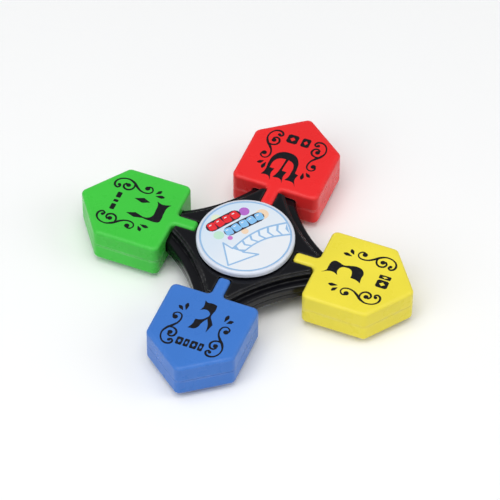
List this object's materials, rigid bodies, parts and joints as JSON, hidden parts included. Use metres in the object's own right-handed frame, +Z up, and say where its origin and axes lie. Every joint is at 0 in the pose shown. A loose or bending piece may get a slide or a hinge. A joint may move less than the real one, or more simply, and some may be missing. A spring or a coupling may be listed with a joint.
{
  "type": "game spinner",
  "caption": "Table-top game spinner: coloured dreidel-shaped blocks on the arms of a black frame that turns on a ball bearing about a still, white, arrow-marked finger cap.",
  "frame": {"origin": "centre of the bottom cap's flat face, on the spin axis, where it stands on a table", "axes": "+Z up along the spin axis; +Y along the red arm, then green (-X), blue (-Y) and yellow (+X) going counter-clockwise from above; the cap's arrow points along -Y"},
  "size_m": [0.1068, 0.1068, 0.0157],
  "materials": {
    "red_plastic": "semi-gloss moulded ABS",
    "green_plastic": "semi-gloss moulded ABS",
    "blue_plastic": "semi-gloss moulded ABS",
    "yellow_plastic": "semi-gloss moulded ABS",
    "black_plastic": "gloss moulded ABS",
    "white_plastic": "gloss moulded ABS",
    "printed_label": "printed and laminated film on a thin disc",
    "bearing_steel": "polished bearing steel",
    "cage_brass": "pressed",
    "shield_steel": "pressed sheet",
    "screw_steel": "zinc plated",
    "weight_steel": "turned bar"
  },
  "bodies": {
    "caps": {"bottom_cap": "white_plastic", "top_cap": "white_plastic", "cap_label": "printed_label", "bearing_inner_race": "bearing_steel"},
    "spinner": {"frame_upper": "black_plastic", "frame_lower": "black_plastic", "bearing_outer_race": "bearing_steel", "bearing_shield_upper": "shield_steel", "bearing_shield_lower": "shield_steel", "block_screws": "screw_steel", "frame_screws": "screw_steel", "red_block_top": "red_plastic", "red_block_bottom": "red_plastic", "red_weight": "weight_steel", "green_block_top": "green_plastic", "green_block_bottom": "green_plastic", "green_weight": "weight_steel", "blue_block_top": "blue_plastic", "blue_block_bottom": "blue_plastic", "blue_weight": "weight_steel", "yellow_block_top": "yellow_plastic", "yellow_block_bottom": "yellow_plastic", "yellow_weight": "weight_steel"},
    "ball_set": {"bearing_cage": "cage_brass", "bearing_balls": "bearing_steel"}
  },
  "joints": [
    {"name": "spin", "type": "hinge", "parent": "caps", "child": "spinner", "pos_m": [0, 0, 0.00785], "axis": [0, 0, 1], "continuous": true},
    {"name": "ball_orbit", "type": "hinge", "parent": "caps", "child": "ball_set", "pos_m": [0, 0, 0.00785], "axis": [0, 0, 1], "continuous": true}
  ],
  "couplings": [
    {"joint": "ball_orbit", "follows": "spin", "ratio": 0.6323}
  ]
}
